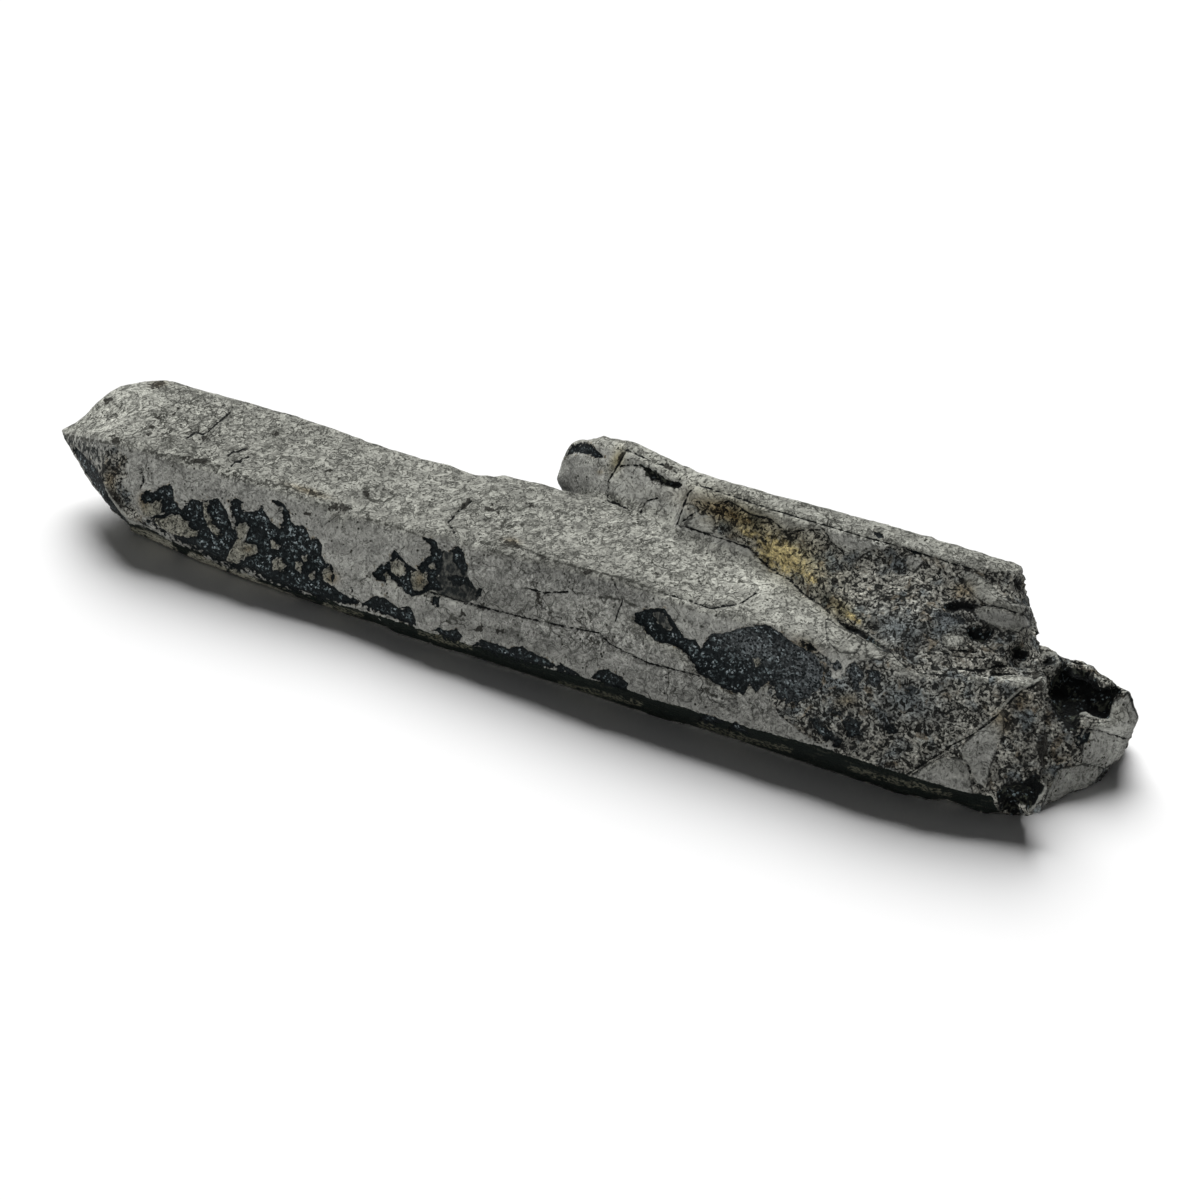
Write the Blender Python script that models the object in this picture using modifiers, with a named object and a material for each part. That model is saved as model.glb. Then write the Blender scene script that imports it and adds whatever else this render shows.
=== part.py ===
"""Black quartz: smoky quartz crystals grown together under a flaking mineral crust.

X runs along the main crystal, from its tip to the broken end. Y points to the back, where the
other crystals grow, and Z is up. The solid rests on the main crystal's lowest prism face.
"""
import math

import bmesh
import bpy
from mathutils import Matrix, Vector, noise

MM = 0.001
NAME = "black_quartz"

# Main crystal. Each station is a section across X, in millimetres from the left shoulder:
# x, y of the front ridge, then the widths of the top, front, lower front and upper back faces.
# The first section leans, so that the tip's lower faces begin further along
MAIN_STATIONS = (
    (-2.5, -1.0, 16.8, 9.8, 10.1, 8.0),
    (20.0, -0.5, 16.5, 11.5, 8.5, 8.5),
    (40.0, 0.0, 16.0, 13.0, 6.0, 8.0),
    (60.0, 0.2, 16.0, 13.7, 6.5, 8.5),
    (80.0, 0.0, 15.0, 14.5, 7.7, 9.0),
    (122.0, 0.3, 16.0, 14.2, 7.8, 9.0),
    (141.4, 5.2, 11.0, 16.4, 5.4, 9.0),
)
MAIN_TIP = (-15.8, 3.7, 11.3)
MAIN_START_SLOPE = 0.15

# The main crystal's broken end: how far it falls back towards the rear, and under this height
MAIN_END_TURN = 0.5
MAIN_END_SLOPE = 0.3
MAIN_END_KNEE = 7.0

# Second crystal, along the back of the main one: x, y and z of its front ridge, then the face widths
SECOND_STATIONS = (
    (82.5, 15.9, 25.6, 3.0, 12.0, 8.0, 12.0),
    (96.0, 15.2, 25.8, 3.6, 12.0, 8.0, 12.5),
    (116.0, 15.2, 26.0, 3.6, 12.0, 8.0, 12.5),
    (130.2, 15.4, 26.0, 3.2, 11.0, 8.0, 11.5),
)
SECOND_END_LEAN = 0.4

# Small crystal at the second one's left end, turned in plan about the start of its ridge. Its
# blunt tip has rings at x, of a scale, sunk by a distance, and then a point
SMALL_RIDGE = (71.5, 20.3, 24.8)
SMALL_TURN = math.radians(-13.0)
SMALL_FACES = (2.3, 9.0, 7.0, 9.0)
SMALL_LENGTH = 26.0
SMALL_TIP_RINGS = ((-5.5, 0.86, 0.5), (-10.6, 0.62, 1.9))
SMALL_TIP = (-12.6, 2.2)

# Broken crystal behind the right end: its corners, from the ground up
BROKEN_FOOT = ((118, 8), (138.8, 0), (141.5, 4.1), (146.1, 10.1), (146, 19), (138, 23), (120, 21))
BROKEN_MIDDLE = ((148.3, 13.9, 3), (149, 15.2, 8), (147.6, 20, 4), (141, 24, 7), (118, 24, 6))
BROKEN_TOP = ((118, 13, 14), (134, 18, 13.6), (138.7, 16, 13.8), (141.7, 16, 13), (147.6, 15.8, 12.6))
BROKEN_TIP = (104, 18, 7)

# Rough matrix that fills the corner between the main and the second crystal
MATRIX_FRONT = ((91, 14.6, 18.4), (104, 8, 18.7), (114, 4.3, 18.6), (122, 0.8, 18.6), (134, 6, 18.2))
MATRIX_TOP = ((90, 15.4, 24.0), (112, 14.6, 24.0), (131.5, 15.4, 24.2), (133.6, 14.0, 19.5))
MATRIX_BACK = ((92, 20, 15), (132, 22, 14))

# Lumps and hollows: place of the centre, radius along X, radius across, height (hollows below zero)
BUMPS = (
    ((-8.5, 11.0, 15.0), 9.5, 7.0, 2.1),
    ((128.0, 13.0, 22.0), 6.5, 3.4, 1.9),
    ((118.5, 8.0, 20.5), 4.5, 3.5, 0.8),
    ((138.8, 14.6, 13.6), 3.6, 3.6, -2.2),
    ((141.6, 13.8, 11.8), 4.2, 3.6, -2.8),
    ((145.0, 14.6, 10.6), 3.0, 3.0, -1.6),
    ((139.0, -1.4, 4.6), 3.2, 3.0, -1.6),
    ((122.8, 13.2, 21.0), 3.0, 2.2, -1.5),
    ((128.2, 9.8, 19.6), 3.6, 2.0, -1.6),
    ((133.3, 8.8, 18.6), 2.4, 2.2, -1.4),
    ((99.0, 11.5, 21.8), 7.0, 3.5, -0.9),
    ((39.9, 5.3, 16.4), 3.0, 1.8, -0.6),
    ((36.8, 0.1, 16.4), 2.4, 1.6, -0.6),
    ((52.7, 6.8, 17.0), 1.8, 2.2, -0.7),
    ((56.3, 8.7, 17.1), 2.0, 1.6, -0.6),
    ((48.7, 15.6, 16.8), 3.0, 2.0, -1.2),
    ((90.5, 24.0, 17.0), 6.0, 4.0, -1.0),
    ((64.0, 19.0, 10.0), 9.0, 4.0, -0.8),
    ((22.0, 18.0, 9.0), 8.0, 4.0, -0.8),
)

# Places on the main crystal's front face where the crust has flaked away. Each outline runs along
# the face in x and down it from the ridge
FLAKED_TIP = (
    (6.0, 5.6), (8.5, 4.4), (12.0, 7.0), (13.6, 4.8), (17.5, 4.2), (20.5, 7.4), (22.0, 3.4),
    (26.5, 3.0), (28.6, 2.3), (32.0, 4.0), (38.0, 9.2), (43.0, 12.2), (49.0, 11.7), (50.0, 15.0),
    (20.0, 15.0), (8.0, 10.5),
)
FLAKED_MIDDLE = (
    (43.4, 7.6), (46.0, 3.8), (49.3, 5.3), (50.7, 1.2), (56.4, 1.3), (58.7, 5.5), (60.5, 6.0),
    (59.0, 7.4), (53.1, 7.9), (48.3, 8.1),
)
FLAKED_RIGHT = (
    (83.3, 3.9), (87.4, 1.9), (90.7, 5.3), (93.6, 5.4), (95.0, 3.2), (102.0, 0.6), (107.0, 1.5),
    (112.0, 3.0), (111.0, 8.0), (104.3, 8.0), (100.5, 9.8), (94.3, 9.1), (91.0, 6.6), (86.0, 6.0),
)
FLAKED_AREAS = (FLAKED_TIP, FLAKED_MIDDLE, FLAKED_RIGHT)
FLAKE_DEPTH = 0.5
FLAKE_EDGE = 0.45

# Smoother plate that stands proud at the right end of the same face
END_PLATE = (
    (124.2, 13.3), (128.8, 9.2), (133.7, 3.7), (137.8, 0.4), (143.0, 4.0), (143.0, 15.0), (126.0, 15.0),
)
PLATE_HEIGHT = 0.5
PLATE_ROUGHNESS = 0.45

# Step where a parallel growth layer begins on the main crystal
GROWTH_STEP_X = 47.8
GROWTH_STEP_SLOPE = 0.35
GROWTH_STEP = 0.5

# Broken surfaces begin about here, and stand this far proud or deep
ROUGH_FROM = 110.0
ROUGH_FULL = 126.0
ROUGH_HEIGHT = 1.1
MATRIX_FROM = 86.0
STRIP_Z = 24.3

# Fineness of the solid, and the flat that it rests on
VOXEL = 0.55
FACES = 7000
REST_Z = 0.25

SIN60 = math.sin(math.radians(60.0))
FRONT_NORMAL = Vector((0.0, -SIN60, 0.5))


def clear_scene():
    for obj in list(bpy.data.objects):
        bpy.data.objects.remove(obj, do_unlink=True)


def new_collection(name):
    collection = bpy.data.collections.new(name)
    bpy.context.scene.collection.children.link(collection)
    return collection


def add_object(name, bm, collection):
    """Make an object in metres from a bmesh in millimetres."""
    bmesh.ops.recalc_face_normals(bm, faces=bm.faces)
    bmesh.ops.transform(bm, matrix=Matrix.Scale(MM, 4), verts=bm.verts)
    mesh = bpy.data.meshes.new(name)
    bm.to_mesh(mesh)
    bm.free()
    obj = bpy.data.objects.new(name, mesh)
    collection.objects.link(obj)
    return obj


def hexagon(ridge_y, ridge_z, top, front, low_front, upper_back):
    """Corners (y, z) of a prism section whose sides turn by sixty degrees, from the front ridge."""
    low_back = front + low_front - upper_back
    bottom = top + upper_back - low_front
    corner = Vector((ridge_y, ridge_z))
    corners = []
    for turn, side in enumerate((top, upper_back, low_back, bottom, low_front)):
        corners.append(corner.copy())
        heading = math.radians(-60.0 * turn)
        corner += side * Vector((math.cos(heading), math.sin(heading)))
    corners.append(corner)
    return corners


def across(x, corners):
    return [Vector((x, y, z)) for y, z in corners]


def main_section(ridge_y, top, front, low_front, upper_back):
    height = (front + low_front) * SIN60
    return hexagon(ridge_y, height, top, front, low_front, upper_back)


def loft(rings, start_tip=None, end_tip=None):
    """Join rings of corners into one closed shape, ending in a point or a flat face."""
    bm = bmesh.new()
    loops = [[bm.verts.new(corner) for corner in ring] for ring in rings]
    count = len(loops[0])
    for first, second in zip(loops, loops[1:]):
        for i in range(count):
            j = (i + 1) % count
            bm.faces.new((first[i], first[j], second[j], second[i]))
    for loop, tip in ((loops[0], start_tip), (loops[-1], end_tip)):
        if tip is None:
            bm.faces.new(loop)
            continue
        point = bm.verts.new(tip)
        for i in range(count):
            bm.faces.new((loop[i], loop[(i + 1) % count], point))
    return bm


def hull(corners):
    bm = bmesh.new()
    for corner in corners:
        bm.verts.new(corner)
    bmesh.ops.convex_hull(bm, input=bm.verts)
    loose = [vert for vert in bm.verts if not vert.link_faces]
    bmesh.ops.delete(bm, geom=loose, context="VERTS")
    return bm


def make_main():
    rings = [across(x, main_section(*sizes)) for x, *sizes in MAIN_STATIONS]
    top_z = max(corner.z for corner in rings[0])
    for corner in rings[0]:
        corner.x += MAIN_START_SLOPE * (top_z - corner.z)
    for corner in rings[-1]:
        corner.x -= MAIN_END_TURN * corner.y
        corner.x -= MAIN_END_SLOPE * max(0.0, MAIN_END_KNEE - corner.z)
    return loft(rings, start_tip=Vector(MAIN_TIP))


def make_second():
    rings = [across(x, hexagon(*sizes)) for x, *sizes in SECOND_STATIONS]
    top_z = max(corner.z for corner in rings[-1])
    height = top_z - min(corner.z for corner in rings[-1])
    for corner in rings[-1]:
        corner.x += SECOND_END_LEAN * (top_z - corner.z) / height
    return loft(rings)


def make_small():
    section = hexagon(0.0, 0.0, *SMALL_FACES)
    middle = sum(section, Vector((0.0, 0.0))) / len(section)
    rings = []
    for x, scale, sink in reversed(SMALL_TIP_RINGS):
        centre = middle - Vector((0.0, sink))
        rings.append(across(x, [centre + scale * (corner - middle) for corner in section]))
    rings.append(across(0.0, section))
    rings.append(across(SMALL_LENGTH, section))
    tip_x, tip_sink = SMALL_TIP
    bm = loft(rings, start_tip=Vector((tip_x, middle.x, middle.y - tip_sink)))
    place = Matrix.Translation(SMALL_RIDGE) @ Matrix.Rotation(SMALL_TURN, 4, "Z")
    bmesh.ops.transform(bm, matrix=place, verts=bm.verts)
    return bm


def make_broken():
    foot = [(x, y, 0.0) for x, y in BROKEN_FOOT]
    return hull([*foot, *BROKEN_MIDDLE, *BROKEN_TOP, BROKEN_TIP])


def make_matrix():
    return hull([*MATRIX_FRONT, *MATRIX_TOP, *MATRIX_BACK])


def evaluated_mesh(obj):
    graph = bpy.context.evaluated_depsgraph_get()
    return bpy.data.meshes.new_from_object(obj.evaluated_get(graph))


def grow_together(collection):
    """Union of the crystals, with an even mesh that the relief can move."""
    makers = (make_main, make_second, make_small, make_broken, make_matrix)
    crystals = [add_object(make.__name__, make(), collection) for make in makers]
    base = crystals[0]
    for other in crystals[1:]:
        join = base.modifiers.new(other.name, "BOOLEAN")
        join.operation = "UNION"
        join.solver = "EXACT"
        join.object = other
    even = base.modifiers.new("even", "REMESH")
    even.mode = "VOXEL"
    even.voxel_size = VOXEL * MM
    mesh = evaluated_mesh(base)
    for crystal in crystals:
        bpy.data.objects.remove(crystal, do_unlink=True)
    return mesh


def smooth(low, high, value):
    t = min(1.0, max(0.0, (value - low) / (high - low)))
    return t * t * (3.0 - 2.0 * t)


def depth_inside(outline, x, y):
    """Distance from a point to an outline's sides: above zero inside, below zero outside."""
    nearest = math.inf
    inside = False
    for (ax, ay), (bx, by) in zip(outline, outline[1:] + outline[:1]):
        dx = bx - ax
        dy = by - ay
        along = ((x - ax) * dx + (y - ay) * dy) / (dx * dx + dy * dy)
        along = min(1.0, max(0.0, along))
        nearest = min(nearest, math.hypot(x - ax - along * dx, y - ay - along * dy))
        if (ay > y) != (by > y) and x < ax + (y - ay) * dx / dy:
            inside = not inside
    return nearest if inside else -nearest


def ridge_height(x):
    """Height of the main crystal's front ridge at x."""
    heights = [(station[0], (station[3] + station[4]) * SIN60) for station in MAIN_STATIONS]
    for (x0, z0), (x1, z1) in zip(heights, heights[1:]):
        if x <= x1:
            return z0 + (z1 - z0) * max(0.0, x - x0) / (x1 - x0)
    return heights[-1][1]


def on_front(place, normal, outlines):
    """How far, from 0 to 1, a place lies in outlines drawn on the main crystal's front face."""
    facing = smooth(0.5, 0.8, normal.dot(FRONT_NORMAL))
    if facing == 0.0 or place.y > 7.0:
        return 0.0
    down = (ridge_height(place.x) - place.z) / SIN60
    ragged = 0.8 * noise.noise(place * 0.45)
    depth = max(depth_inside(outline, place.x, down) for outline in outlines)
    return facing * smooth(-FLAKE_EDGE, FLAKE_EDGE, depth + ragged)


def roughness(place):
    """How broken the surface is at a place, from 0 on crystal faces to 1."""
    end = smooth(ROUGH_FROM, ROUGH_FULL, place.x + 0.5 * (place.z - 10.0))
    on_matrix = smooth(MATRIX_FROM, MATRIX_FROM + 6.0, place.x)
    on_matrix *= smooth(18.8, 20.2, place.z) * (1.0 - smooth(15.5, 17.0, place.y))
    strip = smooth(STRIP_Z - 0.3, STRIP_Z + 0.3, place.z)
    return max(end, on_matrix) * (1.0 - 0.85 * strip)


def bumps(place):
    height = 0.0
    for centre, along, over, size in BUMPS:
        offset = place - Vector(centre)
        reach = (offset.x / along) ** 2 + (offset.y ** 2 + offset.z ** 2) / over ** 2
        if reach < 1.0:
            height += size * (1.0 - reach) ** 1.5
    return height


def growth_step(place):
    """Half a step down before the parallel growth layer and half a step up on it."""
    if place.z > 21.0 or place.x > ROUGH_FROM:
        return 0.0
    start = GROWTH_STEP_X + GROWTH_STEP_SLOPE * place.y
    fade = 1.0 - smooth(60.0, 100.0, place.x)
    return GROWTH_STEP * (smooth(-0.6, 0.6, place.x - start) - 0.5) * fade


def broken_relief(place):
    """Lumps with terraces, as broken quartz and matrix have."""
    coarse = noise.noise(place / 4.2)
    fine = noise.noise(place / 1.9 + Vector((7.0, 3.0, 5.0)))
    terrace = round(3.0 * noise.noise(place / 5.0 + Vector((2.0, 9.0, 4.0)))) / 3.0
    return 0.55 * coarse + 0.3 * fine + 0.45 * terrace


def relief(place, normal):
    """Height of the crust over the plain crystal forms, in millimetres."""
    wave = noise.noise(Vector((place.x / 16.0, place.y / 5.0, place.z / 5.0)))
    plate = on_front(place, normal, (END_PLATE,))
    rough = roughness(place) * (1.0 - (1.0 - PLATE_ROUGHNESS) * plate)
    height = 0.22 * wave + growth_step(place) + bumps(place) + PLATE_HEIGHT * plate
    height += ROUGH_HEIGHT * rough * broken_relief(place)
    return height - FLAKE_DEPTH * on_front(place, normal, FLAKED_AREAS)


def carve(mesh):
    """Move every point out or in by the relief, and keep the underside flat."""
    moved = []
    for vert in mesh.vertices:
        place = vert.co / MM
        moved.append(place + vert.normal * relief(place, vert.normal))
    for vert, place in zip(mesh.vertices, moved):
        place.z = max(place.z, REST_Z)
        vert.co = place * MM


def make_ground(collection):
    """Cutter whose top trims the underside to one plane."""
    bm = bmesh.new()
    bmesh.ops.create_cube(bm, size=2.0)
    size = Matrix.Diagonal((200.0, 100.0, 20.0, 1.0))
    lift = Matrix.Translation((0.0, 0.0, REST_Z + 0.1 - 20.0))
    bmesh.ops.transform(bm, matrix=lift @ size, verts=bm.verts)
    ground = add_object("ground_cut", bm, collection)
    ground.hide_render = True
    ground.display_type = "WIRE"
    return ground


def make_material():
    material = bpy.data.materials.new("grey_crust")
    material.use_nodes = True
    shader = material.node_tree.nodes["Principled BSDF"]
    shader.inputs["Base Color"].default_value = (0.22, 0.22, 0.20, 1.0)
    shader.inputs["Roughness"].default_value = 0.8
    shader.inputs["Metallic"].default_value = 0.0
    return material


def settle(mesh):
    """Put the origin at the middle of the solid's box, at the height that it rests on."""
    low = [min(vert.co[axis] for vert in mesh.vertices) for axis in range(3)]
    high = [max(vert.co[axis] for vert in mesh.vertices) for axis in range(3)]
    shift = Vector(((low[0] + high[0]) / 2.0, (low[1] + high[1]) / 2.0, low[2]))
    mesh.transform(Matrix.Translation(-shift))


def main():
    clear_scene()
    parts = new_collection(NAME)
    cutters = new_collection("cutters")
    mesh = grow_together(parts)
    carve(mesh)
    crystal = bpy.data.objects.new(NAME, mesh)
    parts.objects.link(crystal)
    thin = crystal.modifiers.new("thin", "DECIMATE")
    thin.ratio = FACES / (2.0 * len(mesh.polygons))
    trim = crystal.modifiers.new("trim", "BOOLEAN")
    trim.operation = "DIFFERENCE"
    trim.solver = "EXACT"
    trim.object = make_ground(cutters)
    crystal.data = evaluated_mesh(crystal)
    crystal.modifiers.clear()
    settle(crystal.data)
    crystal.data.materials.clear()
    crystal.data.materials.append(make_material())


main()
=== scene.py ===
"""Black quartz: the looks of the crystal cluster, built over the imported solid.

The solid gives the form. Here it gets a finer surface: the grey crust with its cracks and grain, the
places where it has flaked away to blue-black quartz, the rough broken matrix and the stains. Places
on the side that the camera sees are given in pixels of the 1200 by 1200 picture, and are carried to
the surface by the camera. Lengths named in millimetres are marked so, and all others are in metres.
"""
import math

import bmesh
import bpy
import numpy as np
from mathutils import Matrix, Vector, noise


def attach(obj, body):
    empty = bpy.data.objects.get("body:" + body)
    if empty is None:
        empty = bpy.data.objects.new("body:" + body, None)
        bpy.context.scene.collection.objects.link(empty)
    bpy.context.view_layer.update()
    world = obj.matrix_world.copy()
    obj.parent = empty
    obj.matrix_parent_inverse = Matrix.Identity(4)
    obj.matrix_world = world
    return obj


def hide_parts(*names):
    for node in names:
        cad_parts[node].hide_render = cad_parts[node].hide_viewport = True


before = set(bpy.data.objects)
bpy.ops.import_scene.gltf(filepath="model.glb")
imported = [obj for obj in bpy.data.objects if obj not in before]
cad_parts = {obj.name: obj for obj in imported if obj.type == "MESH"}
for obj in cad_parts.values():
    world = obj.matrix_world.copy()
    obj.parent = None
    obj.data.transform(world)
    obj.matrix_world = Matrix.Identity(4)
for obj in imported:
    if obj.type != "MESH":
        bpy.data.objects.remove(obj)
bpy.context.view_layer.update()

NODE = "black_quartz"
MM = 0.001

# Camera: where it looks from, and the point in the middle of its picture
AZIMUTH = math.radians(26.0)
ELEVATION = math.radians(40.0)
DISTANCE = 0.3333
TARGET = Vector((0.00798, -0.00505, 0.00965))
LENS = 72.0
SENSOR = 36.0
PICTURE = 1200
PIXELS_PER_MM = 7.2
NEAREST = 0.01

# Fineness of the surface in millimetres, and how near an outline it is made finer
VOXEL = 0.52
FINE_NEAR = 0.55

# Depths and heights in millimetres
FLAKE_DEPTH = 0.38
FLAKE_EDGE = 0.16
CRACK_DEPTH = 0.3
CRACK_WIDTH = 0.3
HOLLOW_DEPTH = 1.3
ROUGH_HEIGHT = 0.45
MATRIX_DEPTH = 0.45
RIM_HEIGHT = 0.15
LEDGE_HEIGHT = 1.25
SWELL_HEIGHT = 0.10
WRINKLE_HEIGHT = 0.09
SOFTEN_PASSES = 3

# The foot: its height in millimetres, how far its faces point down, and where relief sets in above it
FOOT_HEIGHT = 0.35
FOOT_FACING = -0.5
RELIEF_RANGE = (0.1, 0.9)

# How squarely a face must look at the camera to count as unseen and as fully seen
SEEN_RANGE = (-0.02, 0.16)

# On the unseen side: how far away outlines and lines are taken to be, the noise that places the bare
# patches, where along X the rough end starts and is complete, and how wrinkled the crust is
FAR_OFF = 4.0
UNSEEN_DEPTH = 3.0
UNSEEN_PATCH_SIZE = 7.0
UNSEEN_PATCH_STRETCH = (2.2, 1.0, 1.0)
UNSEEN_PATCH_LEVEL = 0.34
UNSEEN_END_RANGE = (38.0, 44.0)
UNSEEN_END_NOISE = 9.0
UNSEEN_WRINKLES = 0.4

# How much lighter the pale places are, and how much darker the dim ones: partly the crust's own tone,
# partly painted light and painted shade
PALE_LIFT = 0.45
DIM_DROP = 0.36

# Roughness and shine
CRUST_ROUGHNESS = 0.85
QUARTZ_ROUGHNESS_DROP = 0.3
CRYSTAL_SPECULAR = 0.15
FLOOR_ROUGHNESS = 0.9
FLOOR_SPECULAR = 0.1

# Turns of the wrinkles across the top and of the streaks down the tip
ACROSS_TURN = (0.0, 0.0, math.radians(63.0))
TIP_TURN = (0.0, math.radians(50.0), 0.0)

# Floor and lights: the way to each light, the angle that it spreads over in degrees, and its strength
FLOOR_SIZE = 12.0
KEY_WAY = (-0.48, 0.88, 1.19)
KEY_SPREAD = 42.0
KEY_STRENGTH = 4.4
FILL_WAY = (-0.20, -0.80, 0.62)
FILL_SPREAD = 70.0
FILL_STRENGTH = 1.46
SKY_WAY = (0.10, -0.60, 0.75)
SKY_SPREAD = 130.0
SKY_STRENGTH = 0.18

# Where the crust has flaked away to bare quartz, in pixels
BARE_LEFT = (
    (146, 490), (151, 492), (161, 487), (170, 485), (172.5, 492), (173.5, 501), (181, 511),
    (186, 504), (192, 499.5), (201, 501.5), (209, 499.5), (216.5, 499), (221.5, 503.5), (226, 511),
    (233, 531), (235, 527), (231.5, 513), (229, 500.5), (236, 498.5), (245, 502), (240, 506),
    (242, 511.5), (254, 511.5), (261, 506), (266.5, 515.5), (271.5, 522.5), (280.5, 530),
    (282.5, 514.5), (278.5, 506), (271.5, 500.5), (278, 500.5), (285, 506), (288, 512.5),
    (291, 521.5), (295, 525.5), (302, 525.5), (308.5, 533.5), (310.5, 540), (317, 538.5),
    (321.5, 545.5), (321, 554.5), (325, 563), (331, 565), (334, 575), (333, 585), (337, 589.5),
    (348, 596.5), (356, 599.5), (362.5, 604.5), (352, 604), (342, 602.5), (321.5, 597), (305, 590.5),
    (288, 583.5), (268, 575), (256, 568), (240, 564), (222, 557), (197, 545), (184, 539), (165, 532),
    (150, 521), (143, 508), (141, 497),
)
BARE_MIDDLE = (
    (370.5, 574), (379, 566.5), (390, 560.5), (392, 553), (394, 550), (400, 557), (408, 565),
    (416.5, 570.5), (419.5, 563), (425, 560), (430, 555), (430, 547), (423, 537.5), (432, 539.5),
    (437, 543), (438, 550), (443, 552), (441, 562), (440, 572), (435, 578), (441, 588), (436, 591),
    (428, 590), (424, 593), (412, 597), (402, 592), (397, 582), (388, 578), (384, 583), (376, 579),
)
DULL_MIDDLE = (
    (438, 549), (443, 551), (450, 553), (455.5, 547), (461.5, 549), (464, 557.5), (466.5, 568),
    (467, 576), (471, 583), (476, 590), (483, 587), (478, 600), (465, 602), (450, 598), (436, 593),
    (432, 587), (437, 576), (440, 559),
)
DULL_ISLAND = ((652, 613), (660, 612), (666, 619), (671, 630), (666, 631), (658, 624))
BARE_RIGHT = (
    (634, 614), (647, 609.5), (664, 608.5), (673, 621.5), (683.5, 639), (694.5, 640), (701, 650),
    (709.5, 634.5), (722.5, 633.5), (751, 626), (768, 624), (779, 632.5), (792, 643.5), (812, 654),
    (824, 668), (818, 690), (796, 704), (781, 700), (768, 680), (755, 693), (748.5, 684.5),
    (744.5, 694.5), (725, 689), (699, 674), (688, 656.5), (677, 645.5), (653.5, 641), (644.5, 628),
    (634, 621.5),
)
BARE_TIP = (
    (74, 446), (84, 456), (94, 466), (102, 482), (109, 497), (118, 509), (131, 523), (133, 534),
    (119, 526), (102, 506), (86, 482), (72, 460),
)
BARE_SMALL_TIP = (
    (560, 459), (565, 449), (574, 444), (584, 442.5), (591, 445), (597, 451), (604, 457), (596, 458),
    (588, 453.5), (574, 453), (566, 455),
)
BARE_SCALLOPS = (
    ((431, 631), (438, 627), (447, 631), (456, 629), (462, 637), (458, 643), (440, 637)),
    ((473, 645), (482, 640), (497, 645), (508, 649), (520, 646), (534, 653), (548, 660), (556, 668),
     (540, 668), (510, 660), (486, 653)),
    ((553, 668), (560, 663), (570, 669), (583, 678), (566, 675)),
    ((592, 678), (598, 670), (607, 669), (618, 676), (628, 684), (626, 691), (606, 686)),
    ((697, 722), (704, 716), (716, 718), (724, 724), (712, 726)),
    ((728, 730), (735, 722), (742, 727), (752, 735), (740, 735)),
)

# Crust that still stands inside the flaked places, in pixels
ISLANDS = (
    ((202, 503), (203, 516), (208, 527), (215.5, 536.5), (221.5, 535), (213.5, 524), (207.5, 513),
     (208.5, 501.5)),
    ((141, 506), (147, 503), (152, 505), (154, 500.5), (161, 501), (161.5, 510), (163, 513),
     (157, 515), (150, 517), (144, 515)),
    ((152, 520), (156, 517), (163, 519), (169, 515), (177, 515), (183, 517.5), (187, 522),
     (190, 528), (197, 531), (198, 537), (189, 537), (172, 532), (161, 527)),
    ((236, 529), (238, 524), (244, 523.5), (248, 527), (246, 535), (242, 541), (248, 544),
     (256, 545), (258, 552), (249, 557), (238, 560), (228, 556), (233, 546), (237, 538)),
    ((272, 561), (276, 558), (283, 560), (286, 566), (282, 571), (274, 570)),
    ((295, 562), (299, 560), (303, 566), (301, 572), (296, 570)),
    ((301, 557), (306, 556), (308, 561), (303, 563)),
    ((308, 573), (313, 572), (315, 578), (310, 580)),
    ((270, 541), (275, 540), (279, 546), (275, 550), (271, 548)),
    ((322, 570), (329, 567), (332, 576), (331, 585), (323, 580)),
    ((390, 562), (396, 559), (402, 562), (407, 568), (404, 574), (396, 577), (390, 571)),
    ((411, 572), (418, 570), (426, 574), (428, 583), (422, 590), (413, 589), (410, 581)),
    ((383, 574), (387, 571), (389, 577), (386, 581)),
    ((428, 566), (433, 563), (435, 568), (430, 571)),
    DULL_ISLAND,
    ((752, 660), (758, 657), (761, 664), (756, 668)),
)

# Rough granular matrix, in pixels, and the smoother plate that interrupts it
ROUGH_MATRIX = (
    (691, 499), (716, 504), (728, 499), (751, 514), (770, 518), (775, 525), (785, 531), (792, 529),
    (823, 529), (828, 541), (845, 552), (861, 550), (881, 550), (895, 546), (930, 556), (976, 570),
    (1005, 572), (1044, 573), (1048, 628), (1046, 674), (950, 676), (911, 671), (892, 652),
    (863, 630), (842, 624), (820, 604), (805, 596), (785, 576), (766, 567), (748, 548), (720, 535),
    (702, 522),
)
ROUGH_END = (
    (796, 640), (827, 657), (870, 650), (911, 671), (950, 676), (1015, 671), (1036, 640),
    (1150, 640), (1150, 830), (1000, 830), (905, 796), (850, 772), (800, 745), (775, 712),
    (770, 686),
)
ROUGH_TIP = (
    (103, 452), (118, 448), (127, 458), (125, 480), (131, 500), (141, 512), (152, 524), (130, 517),
    (112, 500), (105, 480),
)
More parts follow.
